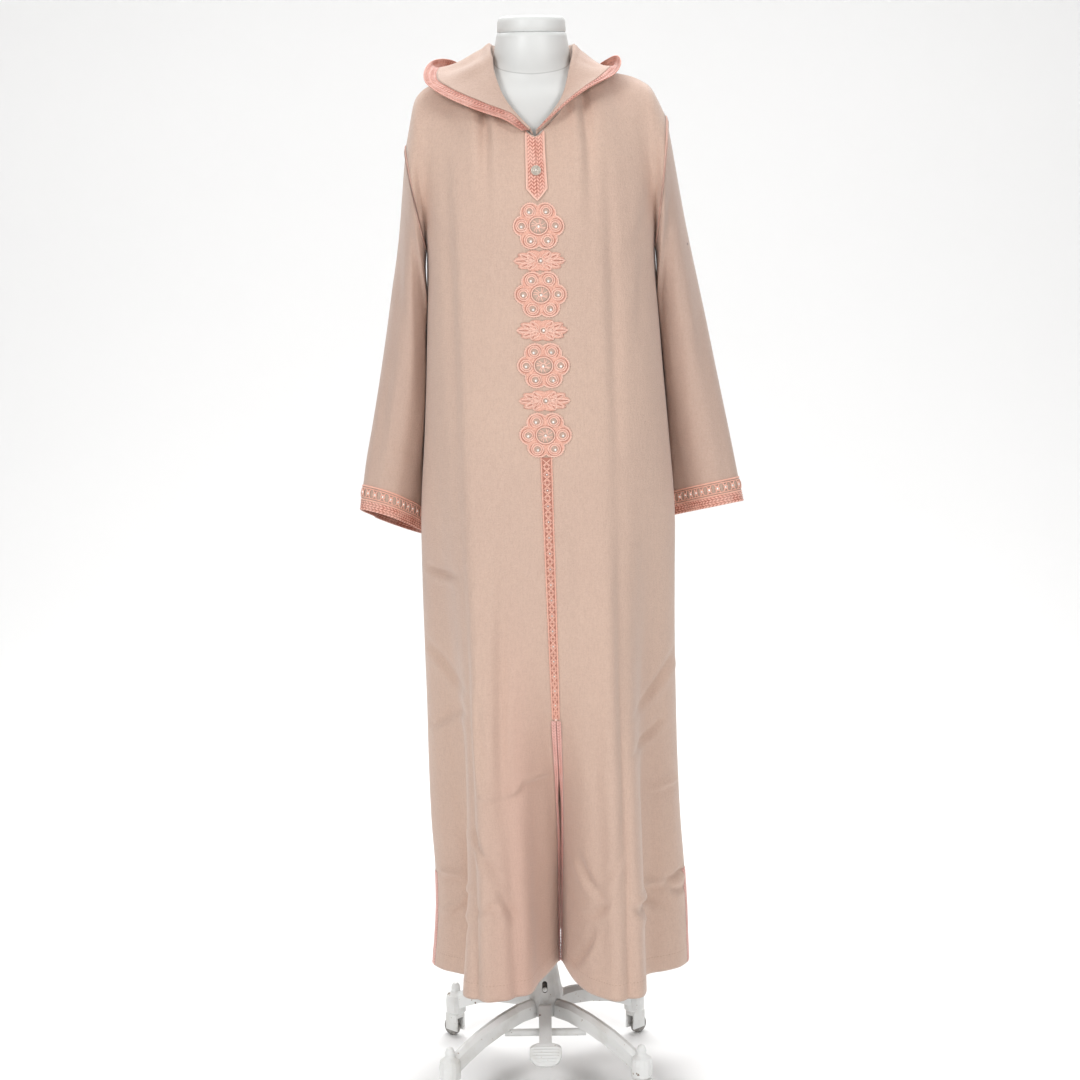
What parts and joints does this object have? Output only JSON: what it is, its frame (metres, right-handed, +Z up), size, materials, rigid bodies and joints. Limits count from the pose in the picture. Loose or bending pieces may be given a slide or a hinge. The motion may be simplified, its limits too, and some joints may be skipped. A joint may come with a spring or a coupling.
{
  "type": "hooded kaftan on a dress form",
  "caption": "Long-sleeved hooded kaftan with a braided placket, flower embroidery and a middle slit, on a wheeled dress form.",
  "frame": {"origin": "on the floor, below the middle of the whole part's box", "axes": "+Z up, the front of the kaftan towards -Y, the wearer's right sleeve at -X"},
  "size_m": [0.5914, 0.3627, 1.655],
  "materials": {
    "kaftan_cloth": "matt crepe",
    "peach_braid": "silky braid",
    "peach_embroidery": "silky thread",
    "button_silver": "polished",
    "form_shell": "satin gloss",
    "mast_steel": "brushed",
    "stand_paint": "chipped white paint over cast iron",
    "wheel_rubber": "matt"
  },
  "bodies": {
    "stand": {"stand_column": "stand_paint", "leg_1": "stand_paint", "leg_2": "stand_paint", "leg_3": "stand_paint", "leg_4": "stand_paint", "pedal_rod": "mast_steel"},
    "dressed_form": {"torso": "form_shell", "neck_cap": "form_shell", "mast": "mast_steel", "front_panel": "kaftan_cloth", "back_panel": "kaftan_cloth", "sleeve_left": "kaftan_cloth", "sleeve_right": "kaftan_cloth", "hood": "kaftan_cloth", "hood_braid": "peach_braid", "placket": "peach_braid", "slit_braid_left": "peach_braid", "slit_braid_right": "peach_braid", "side_braid_front_left": "peach_braid", "side_braid_front_right": "peach_braid", "side_braid_back_left": "peach_braid", "side_braid_back_right": "peach_braid", "cuff_braid_left": "peach_braid", "cuff_braid_right": "peach_braid", "rosette_1": "peach_embroidery", "rosette_2": "peach_embroidery", "rosette_3": "peach_embroidery", "rosette_4": "peach_embroidery", "leaf_spray_1": "peach_embroidery", "leaf_spray_2": "peach_embroidery", "leaf_spray_3": "peach_embroidery", "stem_band": "peach_embroidery", "cuff_band_left": "peach_embroidery", "cuff_band_right": "peach_embroidery", "button": "button_silver"},
    "foot_pedal": {"pedal": "stand_paint"},
    "caster_1": {"caster_fork_1": "stand_paint"},
    "wheel_1": {"caster_wheel_1": "wheel_rubber"},
    "caster_2": {"caster_fork_2": "stand_paint"},
    "wheel_2": {"caster_wheel_2": "wheel_rubber"},
    "caster_3": {"caster_fork_3": "stand_paint"},
    "wheel_3": {"caster_wheel_3": "wheel_rubber"},
    "caster_4": {"caster_fork_4": "stand_paint"},
    "wheel_4": {"caster_wheel_4": "wheel_rubber"}
  },
  "joints": [
    {"name": "height_slide", "type": "slide", "parent": "stand", "child": "dressed_form", "axis": [0, 0, 1], "range_m": [-0.03, 0.12]},
    {"name": "pedal_hinge", "type": "hinge", "parent": "stand", "child": "foot_pedal", "pos_m": [-0.0205, -0.058, 0.0834], "axis": [1, 0, 0], "range_deg": [0, 12], "stiffness_Nm_per_rad": 1, "springref_deg": -20.05},
    {"name": "caster_swivel_1", "type": "hinge", "parent": "stand", "child": "caster_1", "pos_m": [0.12729, 0.15179, 0.0397], "axis": [0, 0, 1], "continuous": true},
    {"name": "wheel_spin_1", "type": "hinge", "parent": "caster_1", "child": "wheel_1", "pos_m": [0.13436, 0.15886, 0.01471], "axis": [-0.7071, 0.7071, 0], "continuous": true},
    {"name": "caster_swivel_2", "type": "hinge", "parent": "stand", "child": "caster_2", "pos_m": [-0.16829, 0.15179, 0.0397], "axis": [0, 0, 1], "continuous": true},
    {"name": "wheel_spin_2", "type": "hinge", "parent": "caster_2", "child": "wheel_2", "pos_m": [-0.17536, 0.15886, 0.01471], "axis": [-0.7071, -0.7071, 0], "continuous": true},
    {"name": "caster_swivel_3", "type": "hinge", "parent": "stand", "child": "caster_3", "pos_m": [-0.16829, -0.14379, 0.0397], "axis": [0, 0, 1], "continuous": true},
    {"name": "wheel_spin_3", "type": "hinge", "parent": "caster_3", "child": "wheel_3", "pos_m": [-0.17536, -0.15086, 0.01471], "axis": [0.7071, -0.7071, 0], "continuous": true},
    {"name": "caster_swivel_4", "type": "hinge", "parent": "stand", "child": "caster_4", "pos_m": [0.12729, -0.14379, 0.0397], "axis": [0, 0, 1], "continuous": true},
    {"name": "wheel_spin_4", "type": "hinge", "parent": "caster_4", "child": "wheel_4", "pos_m": [0.13436, -0.15086, 0.01471], "axis": [0.7071, 0.7071, 0], "continuous": true}
  ]
}
